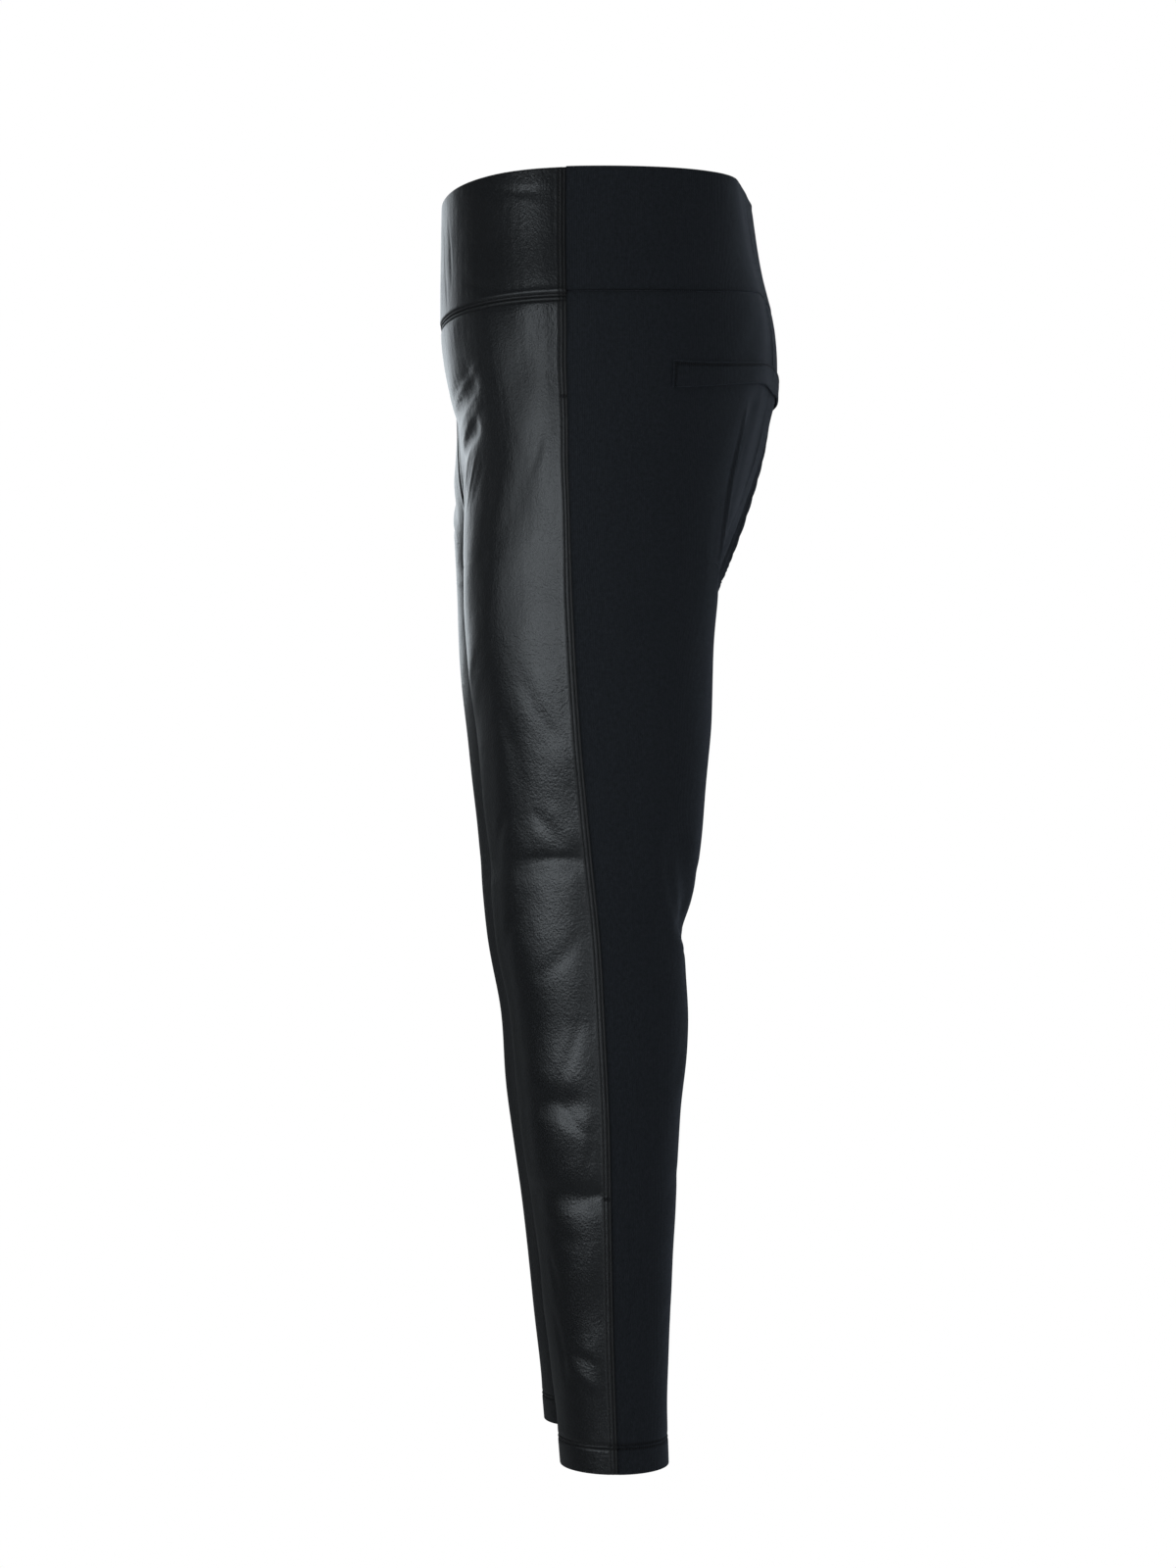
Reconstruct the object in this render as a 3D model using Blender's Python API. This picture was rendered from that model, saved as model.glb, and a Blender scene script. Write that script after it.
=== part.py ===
"""High-waisted pull-on leggings, hollow and held in the pose in which they are worn.

The fronts are a coated leather-look fabric and the backs a matte double knit. They meet at side
seams and inseams. A wide waistband and one long pocket welt across the seat complete the cut.

Metres, +Z up. The front faces -Y and the wearer's left is +X. The origin is the centre of the
waistband's top edge. One half of the garment is worked out as a symmetrical shape, mirrored, and
then the legs are moved into the pose: the right one forward and the left one back.

Every place on a half is given by two numbers: `down`, how far it is below the waist's top edge,
and `around`, how far along the cloth it is from the side seam, negative towards the front.
"""

from collections import namedtuple

import bpy
import numpy as np

MM = 0.001

# Driving sizes
CROTCH_DOWN = 295 * MM  # from the waist's top edge to the crotch point
HEM_DOWN = 974 * MM
HEM_HEIGHT = 20 * MM
BAND_WALL = 2.4 * MM
LEG_WALL = 1.4 * MM
HEM_WALL = 2.2 * MM
WELT_WALL = 1.6 * MM
SEAM_GAP = 0.3 * MM
BAND_PROUD = 0.5 * MM  # the waistband is two layers, so it stands a little proud of the legs

# How low each edge is: at the centre line, at the side seam, and how late it leaves that level
Edge = namedtuple("Edge", "centre side lateness")
FRONT_RIM = Edge(13 * MM, -0.5 * MM, 1.5)
BACK_RIM = Edge(-5 * MM, -1.2 * MM, 1.2)
FRONT_BAND = Edge(110 * MM, 100 * MM, 1.5)
BACK_BAND = Edge(80 * MM, 96 * MM, 1.5)
WELT_TOP = Edge(133 * MM, 147 * MM, 1)

# The pocket welt: half its length along the cloth, its height, and how much lower it is midway
WELT_HALF = 185 * MM
WELT_HEIGHT = 20 * MM
WELT_WAIST = 4 * MM

# The horizontal section of one half at each level, in millimetres.
# front, back: the farthest points; front_x, back_x: how far those are from the centre line;
# side: the half width; inner: the inner leg's distance from the centre line;
# seam: where the side seam is, front to back; turn: how far the leg is turned out, in degrees.
Section = namedtuple("Section", "down front back front_x back_x side inner seam turn")
SECTIONS = (
    Section(0, -115, 118, 25, 56, 150, 0, -1, 0),
    Section(50, -115, 126, 28, 50, 165, 0, 1, 0),
    Section(100, -114, 138, 34, 46, 182, 0, 4, 0),
    Section(140, -112, 139, 42, 46, 189, 0, 5, 0),
    Section(185, -109, 131, 58, 56, 193, 0, 4, 0),
    Section(240, -108, 115, 80, 78, 192, 0, -4, 0),
    Section(295, -107, 100, 93, 93, 186, 6, -11, 0),
    Section(350, -105, 88, 95, 95, 182, 8, -10, 2),
    Section(430, -96, 80, 95, 95, 174, 12, -6, 4),
    Section(510, -88, 73, 95, 95, 164, 22, 0, 6),
    Section(580, -82, 62, 95, 95, 158, 29, 6, 8),
    Section(640, -71, 64, 95, 95, 155, 32, 9, 9),
    Section(710, -65, 58, 95, 95, 153, 34, 12, 10),
    Section(790, -53, 54, 95, 95, 149, 38, 13, 11),
    Section(870, -44, 50, 95, 95, 145, 42, 14, 12),
    Section(940, -36, 48, 95, 95, 143, 44, 16, 12),
    Section(974, -33, 49, 95, 95, 143, 45, 17, 12),
)

# The crotch curve, as the depth of the groove that the centre seams sink into
GROOVE_START = 150 * MM
FRONT_GROOVE_POWER = 5.0
BACK_GROOVE_POWER = 9.0
LEAST_SUNK = 0.001
BESIDE_GROOVE = 0.7  # the place beside the groove, as a share of its height, that closes smoothly
ARCH_HEIGHT = 12 * MM  # how fast the legs part below the crotch

# The pose
LEG_SHIFT = 20 * MM
SHIFT_FRONT = (105 * MM, 250 * MM)  # the levels where the shift starts and is whole
SHIFT_BACK = (170 * MM, 420 * MM)
SHIFT_BLEND = 90 * MM  # front to back
SHIFT_REACH = 45 * MM  # how far from the centre line the cloth takes it up at the hips
SHIFT_REACH_FALL = 125 * MM

# Panels, as steps of the mesh
HIP_ROWS = 14
LEG_ROWS = 31
FRONT_COLUMNS = 12
BACK_COLUMNS = 14
BAND_COLUMNS = 11
BAND_ROWS = 5
WELT_COLUMNS = 12
WELT_ROWS = 2
ARC_STEPS = 24

# The largest folds, in millimetres: one straight stretch each, from (around_0, down_0) to
# (around_1, down_1), with the trough's depth (a ridge is negative) and half width.
Fold = namedtuple("Fold", "around_0 down_0 around_1 down_1 depth width")
FOLDS = (
    Fold(-205, 196, -105, 157, 2.5, 12),
    Fold(-200, 232, -110, 192, 2.5, 12),
    Fold(195, 175, 170, 300, 3.0, 14),
    Fold(-15, 516, -125, 522, 1.0, 11),
    Fold(-30, 698, -90, 698, 2.0, 12),
    Fold(-15, 767, -80, 767, 1.8, 11),
    Fold(75, 505, 90, 560, 3.0, 14),
    Fold(90, 560, 125, 585, 3.0, 14),
)

# How the slope of the cloth is measured, as shares of a column and of a row of the mesh
COLUMN_STEP = 0.2
ROW_STEP = 0.5


def column(name):
    scale = 1.0 if name == "turn" else MM
    return np.array([getattr(row, name) for row in SECTIONS]) * scale


LEVELS = column("down")
COLUMNS = {name: column(name) for name in Section._fields}
SLOPES = {name: np.gradient(values, LEVELS) for name, values in COLUMNS.items()}


def size_at(name, down):
    """A column of the section table at any level, as a smooth curve through its rows."""
    down = np.clip(down, LEVELS[0], LEVELS[-1])
    low = np.clip(np.searchsorted(LEVELS, down) - 1, 0, len(LEVELS) - 2)
    span = LEVELS[low + 1] - LEVELS[low]
    t = (down - LEVELS[low]) / span
    values, slopes = COLUMNS[name], SLOPES[name]
    return (
        values[low] * (1 + 2 * t) * (1 - t) ** 2
        + slopes[low] * span * t * (1 - t) ** 2
        + values[low + 1] * t**2 * (3 - 2 * t)
        - slopes[low + 1] * span * t**2 * (1 - t)
    )


def smooth_step(low, high, value):
    t = np.clip((value - low) / (high - low), 0, 1)
    return t * t * (3 - 2 * t)


def groove(down, power):
    """How far a centre seam has sunk towards the crotch point: 0 at the hips, 1 at the crotch."""
    t = np.clip((down - GROOVE_START) / (CROTCH_DOWN - GROOVE_START), 0, 1)
    return 1 - np.sqrt(1 - t**power)


def groove_bend(sunk):
    """The power of the curve beside the groove, such that the cloth there comes to the round of
    the leg with no ledge at the crotch, where the power is 1."""
    closed = 1 - (1 - sunk) ** 3
    share = 1 - (1 - BESIDE_GROOVE) * closed / sunk
    return np.log(share) / np.log(BESIDE_GROOVE)


def centre_seam(down, edge, power):
    """The y of the centre front or centre back seam at each level."""
    middle = (size_at("front", down) + size_at("back", down)) / 2
    outer = size_at(edge, down)
    return outer + (middle - outer) * groove(down, power)


def section_points(down):
    """The section of the left half at each level, from the inner front round to the inner back."""
    down = np.asarray(down)[:, None]
    front, back, side = (size_at(name, down) for name in ("front", "back", "side"))
    front_x, back_x = size_at("front_x", down), size_at("back_x", down)
    middle = (front + back) / 2
    parting = np.sqrt(1 - np.exp(-np.clip(down - CROTCH_DOWN, 0, None) / ARCH_HEIGHT))
    inner = size_at("inner", down) * parting
    below = smooth_step(CROTCH_DOWN - 20 * MM, CROTCH_DOWN, down)
    centre = (inner + side) / 2
    front_x = front_x + (centre - front_x) * below
    back_x = back_x + (centre - back_x) * below

    angle = np.linspace(0, np.pi / 2, ARC_STEPS + 1)[None, :]
    rise, fall = np.sin(angle), np.cos(angle)
    arcs = []
    for edge, apex, apex_x, power in (
        ("front", front, front_x, FRONT_GROOVE_POWER),
        ("back", back, back_x, BACK_GROOVE_POWER),
    ):
        start = centre_seam(down, edge, power)
        bend = groove_bend(np.maximum(groove(down, power), LEAST_SUNK))
        arcs.append(
            (
                inner + (apex_x - inner) * (1 - fall),
                start + (apex - start) * rise**bend,
            )
        )
    outer_front = (
        front_x + (side - front_x) * rise,
        middle + (front - middle) * fall,
    )
    outer_back = (back_x + (side - back_x) * fall, middle + (back - middle) * rise)
    pieces = (
        arcs[0],
        tuple(values[:, 1:] for values in outer_front),
        tuple(values[:, 1:] for values in outer_back),
        tuple(values[:, -2::-1] for values in arcs[1]),
    )
    x = np.concatenate([piece[0] for piece in pieces], axis=1)
    y = np.concatenate([piece[1] for piece in pieces], axis=1)
    turn = np.radians(size_at("turn", down))
    x, y = x - centre, y - middle
    return (
        centre + x * np.cos(turn) - y * np.sin(turn),
        middle + x * np.sin(turn) + y * np.cos(turn),
    )


def measured_sections(down):
    """Section points with their lengths along the cloth, and the side seam's length."""
    x, y = section_points(down)
    steps = np.hypot(np.diff(x, axis=1), np.diff(y, axis=1))
    length = np.concatenate([np.zeros((len(x), 1)), np.cumsum(steps, axis=1)], axis=1)
    seam = size_at("seam", np.asarray(down))[:, None]
    outer = slice(ARC_STEPS, 3 * ARC_STEPS + 1)
    before = ARC_STEPS + np.sum(y[:, outer] < seam, axis=1) - 1
    row = np.arange(len(x))
    part = (seam[:, 0] - y[row, before]) / (y[row, before + 1] - y[row, before])
    seam_length = length[row, before] + part * (length[row, before + 1] - length[row, before])
    return x, y, length, seam_length


def point_at(x, y, length, wanted):
    """The points at the wanted lengths, one for each row of a set of sections."""
    row = np.arange(len(x))
    wanted = np.clip(wanted, 0, length[:, -1])
    after = np.clip(np.sum(length < wanted[:, None], axis=1), 1, x.shape[1] - 1)
    before = after - 1
    span = length[row, after] - length[row, before]
    part = (wanted - length[row, before]) / span
    return (
        x[row, before] + part * (x[row, after] - x[row, before]),
        y[row, before] + part * (y[row, after] - y[row, before]),
    )


def centre_levels(edge, power, top):
    """Levels evenly spaced along a centre seam, from `top` to the crotch point."""
    t = np.linspace(0, 1, 800)
    down = top + (CROTCH_DOWN - top) * (1 - (1 - t) ** 3)
    y = centre_seam(down, edge, power)
    length = np.concatenate([[0], np.cumsum(np.hypot(np.diff(down), np.diff(y)))])
    return length / length[-1], down


SIDES = {
    "front": (-1, FRONT_RIM, FRONT_BAND, FRONT_GROOVE_POWER),
    "back": (1, BACK_RIM, BACK_BAND, BACK_GROOVE_POWER),
}
CENTRE_LEVELS = {
    edge: centre_levels(edge, power, band.centre) for edge, (_, _, band, power) in SIDES.items()
}


def edge_share(edge, u):
    """From 0 at the side seam, where u is 1, to 1 at the centre line, level at both."""
    return (1 - smooth_step(0, 1, u)) ** edge.lateness


def edge_down(edge, u):
    return edge.side + (edge.centre - edge.side) * edge_share(edge, u)


def leg_down(edge, u, v):
    """The level of a leg panel's point. u runs from the centre seam or inseam to the side seam,
    and v counts the rows from the waistband."""
    band = SIDES[edge][2]
    share = np.clip(v / HIP_ROWS, 0, 1)
    side = band.side + (CROTCH_DOWN - band.side) * share
    centre = np.interp(share, *CENTRE_LEVELS[edge])
    hips = side + (centre - side) * edge_share(band, u)
    low_rows = np.append(np.linspace(CROTCH_DOWN, HEM_DOWN - HEM_HEIGHT, LEG_ROWS), HEM_DOWN)
    legs = np.interp(v - HIP_ROWS, np.arange(LEG_ROWS + 1), low_rows)
    return np.where(v < HIP_ROWS, hips, legs)


def band_down(edge, u, v):
    top, low = (edge_down(limit, u) for limit in SIDES[edge][1:3])
    return top + (low - SEAM_GAP - top) * v / BAND_ROWS


def welt_down(edge, u, v):
    height = WELT_HEIGHT - WELT_WAIST * np.sin(np.pi * u)
    return edge_down(WELT_TOP, u) + height * v / WELT_ROWS


def fold_depth(around, down):
    """How deep the folds press the cloth in, at places on one half."""
    depth = np.zeros_like(down)
    for fold in FOLDS:
        start = np.array([fold.around_0, fold.down_0]) * MM
        run = np.array([fold.around_1, fold.down_1]) * MM - start
        share = ((around - start[0]) * run[0] + (down - start[1]) * run[1]) / (run @ run)
        near = np.clip(share, 0, 1)
        gap = np.hypot(around - start[0] - near * run[0], down - start[1] - near * run[1])
        depth += fold.depth * MM * np.exp(-((gap / (fold.width * MM)) ** 2))
    return depth


def cloth_place(edge, reach, levels, u, v):
    """Unposed places (x, y, z), and each one's distance around from the side seam."""
    sign = SIDES[edge][0]
    down = levels(edge, u, v)
    x, y, length, seam = measured_sections(down)
    whole = seam if sign < 0 else length[:, -1] - seam
    if reach is None:
        gap = SEAM_GAP / 2
        around = sign * (gap + (whole - 2 * gap) * (1 - u))
    else:
        around = sign * (whole - reach * u)
    px, py = point_at(x, y, length, seam + around)
    px = np.maximum(px, SEAM_GAP / 2)  # the two halves never touch in the groove
    return np.stack([px, py, -down], axis=-1), around, down


def cloth_points(edge, columns, rows, levels, reach=None, folds=True):
    """A panel's grid of places and of outward directions, row by row from the top.
    u = 0 is the centre seam or inseam, and reach is how far the piece goes from it."""
    u, v = np.meshgrid(np.linspace(0, 1, columns + 1), np.arange(rows + 1.0))
    shape = u.shape
    u, v = u.ravel(), v.ravel()

    def place(du, dv):
        return cloth_place(
            edge, reach, levels, np.clip(u + du, 0, 1), np.clip(v + dv, 0, rows)
        )[0]

    at, around, down = cloth_place(edge, reach, levels, u, v)
    step = COLUMN_STEP / columns
    along = place(step, 0) - place(-step, 0)
    lower = place(0, ROW_STEP) - place(0, -ROW_STEP)
    out = np.cross(along, -lower)
    out *= -SIDES[edge][0] / np.linalg.norm(out, axis=1)[:, None]
    if folds:
        at = at - out * fold_depth(around, down)[:, None]
    return at.reshape(*shape, 3), out.reshape(*shape, 3)


def both_halves(grid, out):
    """Joins a left half's grid to its mirror image at the centre line, right side first."""
    flip = np.array([-1, 1, 1])
    middle = grid[:, :1] * np.array([0, 1, 1])
    middle_out = out[:, :1] * np.array([0, 1, 1])
    middle_out /= np.linalg.norm(middle_out, axis=2, keepdims=True)
    grid = np.concatenate([(grid * flip)[:, :0:-1], middle, grid[:, 1:]], axis=1)
    out = np.concatenate([(out * flip)[:, :0:-1], middle_out, out[:, 1:]], axis=1)
    return grid, out


def posed(points):
    """Moves the right leg forward and the left leg back, shared out smoothly over the hips."""
    x, y, down = points[..., 0], points[..., 1], -points[..., 2]
    behind = smooth_step(-SHIFT_BLEND, SHIFT_BLEND, y)
    start, whole = (a + (b - a) * behind for a, b in zip(SHIFT_FRONT, SHIFT_BACK))
    amount = LEG_SHIFT * smooth_step(start, whole, down)
    fall = smooth_step(CROTCH_DOWN, CROTCH_DOWN + SHIFT_REACH_FALL, down)
    near = np.tanh(x / SHIFT_REACH)
    moved = points.copy()
    moved[..., 1] += amount * (near + (np.sign(x) - near) * fall)
    return moved


def volume_of(points, quads):
    """The volume inside a closed mesh, negative where its faces point in."""
    a, b, c, d = (points[[quad[corner] for quad in quads]] for corner in range(4))
    turned = np.cross(b, c) + np.cross(c, d)
    return np.sum(a * turned) / 6


def turned_to_short_diagonal(points, quad):
    """The same face, begun at the corner that has the shorter diagonal, which splits it in two."""
    a, b, c, d = points[list(quad)]
    if np.linalg.norm(a - c) <= np.linalg.norm(b - d):
        return quad
    return quad[1:] + quad[:1]


def wall_mesh(name, outer, inner):
    """A closed wall between two grids of points."""
    rows, columns = outer.shape[:2]
    count = rows * columns
    index = np.arange(count).reshape(rows, columns)
    faces = []

    def strip(a, b):
        faces.extend(zip(a[:-1], a[1:], b[1:], b[:-1]))

    for row in range(rows - 1):
        strip(index[row + 1], index[row])
        strip(index[row] + count, index[row + 1] + count)
    strip(index[0], index[0] + count)
    strip(index[-1] + count, index[-1])
    strip(index[:, 0] + count, index[:, 0])
    strip(index[:, -1], index[:, -1] + count)
    points = np.concatenate([outer.reshape(-1, 3), inner.reshape(-1, 3)])
    quads = [tuple(int(corner) for corner in face) for face in faces]
    if volume_of(points, quads) < 0:
        quads = [face[::-1] for face in quads]
    quads = [turned_to_short_diagonal(points, quad) for quad in quads]
    mesh = bpy.data.meshes.new(name)
    mesh.from_pydata([tuple(point) for point in points], [], quads)
    mesh.shade_smooth()
    mesh.set_sharp_from_angle(angle=np.radians(40))
    return mesh


def material(name, colour, roughness):
    made = bpy.data.materials.new(name)
    made.use_nodes = True
    shader = made.node_tree.nodes["Principled BSDF"]
    shader.inputs["Base Color"].default_value = (*colour, 1)
    shader.inputs["Roughness"].default_value = roughness
    shader.inputs["Metallic"].default_value = 0
    return made


def add_piece(name, grid, out, proud, wall, look):
    """Makes a wall from a grid, `proud` above it and `wall` thick (a number or one for each row)."""
    wall = np.broadcast_to(np.reshape(wall, (-1, 1, 1)), (len(grid), 1, 1))
    outer = posed(grid + out * proud)
    inner = posed(grid + out * (proud - wall))
    piece = bpy.data.objects.new(name, wall_mesh(name, outer, inner))
    piece.data.materials.append(material(name + "_cloth", *look))
    bpy.context.scene.collection.objects.link(piece)
    return piece


LEATHER_LOOK = ((0.009, 0.0095, 0.0105), 0.35)
DOUBLE_KNIT = ((0.020, 0.023, 0.027), 0.9)


def add_waistband():
    for edge, look in (("front", LEATHER_LOOK), ("back", DOUBLE_KNIT)):
        grid, out = cloth_points(edge, BAND_COLUMNS, BAND_ROWS, band_down, folds=False)
        add_piece("waistband_" + edge, *both_halves(grid, out), BAND_PROUD, BAND_WALL, look)


def add_legs():
    rows = HIP_ROWS + LEG_ROWS
    walls = np.full(rows + 1, LEG_WALL)
    walls[-2:] = HEM_WALL
    for edge, columns, look in (
        ("front", FRONT_COLUMNS, LEATHER_LOOK),
        ("back", BACK_COLUMNS, DOUBLE_KNIT),
    ):
        grid, out = cloth_points(edge, columns, rows, leg_down)
        for side, flip in (("left", 1), ("right", -1)):
            turned = np.array([flip, 1, 1])
            add_piece(f"leg_{edge}_{side}", grid * turned, out * turned, 0, walls, look)


def add_pocket_welt():
    grid, out = cloth_points("back", WELT_COLUMNS, WELT_ROWS, welt_down, reach=WELT_HALF)
    proud = WELT_WALL + SEAM_GAP
    add_piece("pocket_welt", *both_halves(grid, out), proud, WELT_WALL, DOUBLE_KNIT)


def main():
    for thing in list(bpy.data.objects):
        bpy.data.objects.remove(thing)
    add_waistband()
    add_legs()
    add_pocket_welt()


main()
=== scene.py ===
"""High-waisted pull-on leggings: coated leather-look fronts, matte double knit backs, a wide
waistband and one long pocket welt across the seat, worn by nobody and hollow.

Metres, +Z up. The front faces -Y and the wearer's left is +X. Every cloth piece is a thin shell
on the form of its solid: the same section table gives the left half, which is mirrored for the
right half, and then the legs are moved into the pose.

A place on a half is given by two numbers: `down`, how far it is below the waist's top edge, and
`around`, how far along the cloth it is from the side seam, negative towards the front.
"""

from collections import namedtuple

import bpy
import numpy as np
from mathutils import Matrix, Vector


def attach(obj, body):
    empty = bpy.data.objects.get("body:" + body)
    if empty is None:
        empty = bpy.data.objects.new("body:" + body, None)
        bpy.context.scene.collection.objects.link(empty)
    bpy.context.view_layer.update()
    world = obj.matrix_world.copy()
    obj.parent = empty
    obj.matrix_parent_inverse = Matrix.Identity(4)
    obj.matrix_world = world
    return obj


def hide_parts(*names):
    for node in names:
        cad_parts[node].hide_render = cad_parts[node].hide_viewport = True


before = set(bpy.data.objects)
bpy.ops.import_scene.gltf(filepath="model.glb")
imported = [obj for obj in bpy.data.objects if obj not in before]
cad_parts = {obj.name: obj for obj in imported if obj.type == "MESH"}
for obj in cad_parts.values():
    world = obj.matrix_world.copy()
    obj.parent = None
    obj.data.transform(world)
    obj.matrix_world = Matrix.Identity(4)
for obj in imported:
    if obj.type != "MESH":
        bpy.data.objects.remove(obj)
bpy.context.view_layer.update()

MM = 0.001
LEFT, RIGHT = 1, -1

# Driving sizes of the cut
CROTCH_DOWN = 295 * MM
HEM_DOWN = 974 * MM
HEM_HEIGHT = 20 * MM
BAND_WALL = 2.4 * MM
LEG_WALL = 1.4 * MM
WELT_WALL = 1.6 * MM
SEAM_GAP = -0.1 * MM  # the solids are 0.3 mm apart; here the sewn edges press into each other
WELT_GAP = 0.3 * MM
BAND_PROUD = 0.5 * MM

# How low each edge is: at the centre line, at the side seam, and how late it leaves that level
Edge = namedtuple("Edge", "centre side lateness")
FRONT_RIM = Edge(13 * MM, -0.5 * MM, 1.5)
BACK_RIM = Edge(-5 * MM, -1.2 * MM, 1.2)
FRONT_BAND = Edge(110 * MM, 100 * MM, 1.5)
BACK_BAND = Edge(80 * MM, 96 * MM, 1.5)
WELT_TOP = Edge(133 * MM, 147 * MM, 1)

WELT_HALF = 185 * MM
WELT_HEIGHT = 20 * MM
WELT_WAIST = 4 * MM

# The horizontal section of one half at each level, in millimetres
Section = namedtuple("Section", "down front back front_x back_x side inner seam turn")
SECTIONS = (
    Section(0, -115, 118, 25, 56, 150, 0, -1, 0),
    Section(50, -115, 126, 28, 50, 165, 0, 1, 0),
    Section(100, -114, 138, 34, 46, 182, 0, 4, 0),
    Section(140, -112, 139, 42, 46, 189, 0, 5, 0),
    Section(185, -109, 131, 58, 56, 193, 0, 4, 0),
    Section(240, -108, 115, 80, 78, 192, 0, -4, 0),
    Section(295, -107, 100, 93, 93, 186, 6, -11, 0),
    Section(350, -105, 88, 95, 95, 182, 8, -10, 2),
    Section(430, -96, 80, 95, 95, 174, 12, -6, 4),
    Section(510, -88, 73, 95, 95, 164, 22, 0, 6),
    Section(580, -82, 62, 95, 95, 158, 29, 6, 8),
    Section(640, -71, 64, 95, 95, 155, 32, 9, 9),
    Section(710, -65, 58, 95, 95, 153, 34, 12, 10),
    Section(790, -53, 54, 95, 95, 149, 38, 13, 11),
    Section(870, -44, 50, 95, 95, 145, 42, 14, 12),
    Section(940, -36, 48, 95, 95, 143, 44, 16, 12),
    Section(974, -33, 49, 95, 95, 143, 45, 17, 12),
)

# The crotch curve
GROOVE_START = 150 * MM
FRONT_GROOVE_POWER = 5.0
BACK_GROOVE_POWER = 9.0
LEAST_SUNK = 0.001
BESIDE_GROOVE = 0.7
ARCH_HEIGHT = 12 * MM

# The pose
LEG_SHIFT = 20 * MM
SHIFT_FRONT = (105 * MM, 250 * MM)
SHIFT_BACK = (170 * MM, 420 * MM)
SHIFT_BLEND = 90 * MM
SHIFT_REACH = 45 * MM
SHIFT_REACH_FALL = 125 * MM

# How the solids' mesh rows are counted, which sets how levels are shared out between the edges
HIP_ROWS = 14
LEG_ROWS = 31
ARC_STEPS = 24

# The largest folds of the solids, in millimetres: straight troughs
Fold = namedtuple("Fold", "around_0 down_0 around_1 down_1 depth width")
FOLDS = (
    Fold(-205, 196, -105, 157, 2.5, 12),
    Fold(-200, 232, -110, 192, 2.5, 12),
    Fold(195, 175, 170, 300, 3.0, 14),
    Fold(-15, 516, -125, 522, 1.0, 11),
    Fold(-30, 698, -90, 698, 2.0, 12),
    Fold(-15, 767, -80, 767, 1.8, 11),
    Fold(75, 505, 90, 560, 3.0, 14),
    Fold(90, 560, 125, 585, 3.0, 14),
)

# The creases, in millimetres. Each runs from (around_0, down_0) to (around_1, down_1) and its
# middle bows sideways; it is a soft trough with lips, or a ridge where the depth is negative.
Crease = namedtuple("Crease", "around_0 down_0 around_1 down_1 bow depth width")
FRONT_CREASES = (
    # whiskers that run from the crotch up towards the hip
    Crease(-168, 174, -80, 143, -2.5, -1.1, 3.2),
    Crease(-160, 184, -88, 158, -2.5, 1.0, 7),
    Crease(-164, 208, -88, 174, 0, -1.0, 3.2),
    Crease(-156, 216, -96, 190, 0, 1.0, 7),
    Crease(-162, 214, -128, 248, 3, 0.9, 5),
    Crease(-136, 244, -116, 200, 1, -0.5, 2.4),
    Crease(-126, 254, -102, 208, 1, -0.6, 2.6),
    Crease(-112, 256, -90, 214, 1, 0.3, 6),
    Crease(-190, 232, -150, 206, 3, 0.7, 7),
    Crease(-185, 262, -146, 244, 3, 0.7, 6),
    # drag lines beside the side seam
    Crease(-25, 178, -56, 268, 3, 0.3, 9),
    Crease(-23, 196, -38, 234, 2, 0.3, 4),
    Crease(-16, 200, -29, 234, 1, -0.25, 3),
    Crease(-12, 212, -24, 246, 1, 0.25, 4),
    Crease(-74, 214, -84, 300, -3, 0.35, 11),
    # thigh
    Crease(-48, 365, -14, 432, -4, 0.35, 8),
    Crease(-70, 392, -52, 470, 4, 0.5, 10),
    Crease(-120, 392, -84, 352, -3, 0.4, 8),
    # knee
    Crease(-58, 517, -2, 515, 2, 0.5, 3.5),
    Crease(-64, 476, -90, 520, -4, 0.6, 6),
    Crease(-46, 478, -22, 508, 3, 0.5, 8),
    Crease(-56, 606, -12, 568, -4, 0.4, 8),
    Crease(-88, 590, -60, 552, 4, 0.5, 8),
    # calf
    Crease(-18, 630, -47, 700, 3, 0.5, 6),
    Crease(-38, 694, -12, 722, -4, 0.5, 6),
    Crease(-12, 706, -20, 756, 2, 0.4, 5),
    Crease(-84, 690, -34, 699, 2, 0.2, 7),
    Crease(-82, 769, -24, 764, 4, 0.3, 5),
    Crease(-24, 768, -4, 763, 0, 0.6, 4),
    Crease(-70, 782, -24, 802, -3, 0.4, 7),
    Crease(-58, 812, -46, 846, 3, 0.5, 5),
    Crease(-56, 850, -42, 910, 3, 0.5, 5),
    Crease(-42, 882, -10, 894, 1, 0.6, 5),
    Crease(-42, 893, -10, 912, 1, -0.6, 6),
)
BACK_CREASES = (
    # the seat's long fold under the welt with the hollow behind it, and the pocket bag's edge
    Crease(176, 168, 146, 312, 1, -2.2, 4.5),
    Crease(188, 175, 168, 306, -3, 2.2, 7),
    Crease(79, 172, 77, 262, 0, 0.35, 3),
    Crease(150, 236, 132, 330, -4, 0.4, 9),
    Crease(60, 236, 50, 360, 3, 0.35, 12),
    # back of the knee
    Crease(64, 500, 70, 560, -4, 1.2, 8),
    Crease(66, 556, 116, 584, -5, 1.3, 7),
    Crease(80, 604, 112, 570, 3, 0.7, 7),
    Crease(110, 520, 132, 556, 4, 0.8, 9),
    Crease(40, 540, 60, 590, 3, 0.5, 9),
    # calf
    Crease(60, 690, 84, 652, 3, 0.5, 9),
    Crease(50, 770, 90, 752, 2, 0.5, 8),
    Crease(40, 868, 72, 852, 2, 0.4, 8),
)
BAND_CREASES = (
    Crease(-128, 24, -122, 84, 2, 0.35, 3),
    Crease(-138, 34, -134, 98, -2, 0.4, 3),
    Crease(-148, 20, -146, 70, 1, 0.35, 3),
    Crease(-156, 48, -152, 100, 2, 0.35, 3),
    Crease(-100, 84, -60, 92, 2, 0.35, 5),
    Crease(-60, 12, -14, 18, -2, 0.4, 5),
)
LIP = 0.9  # how high a crease's lips are
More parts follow.
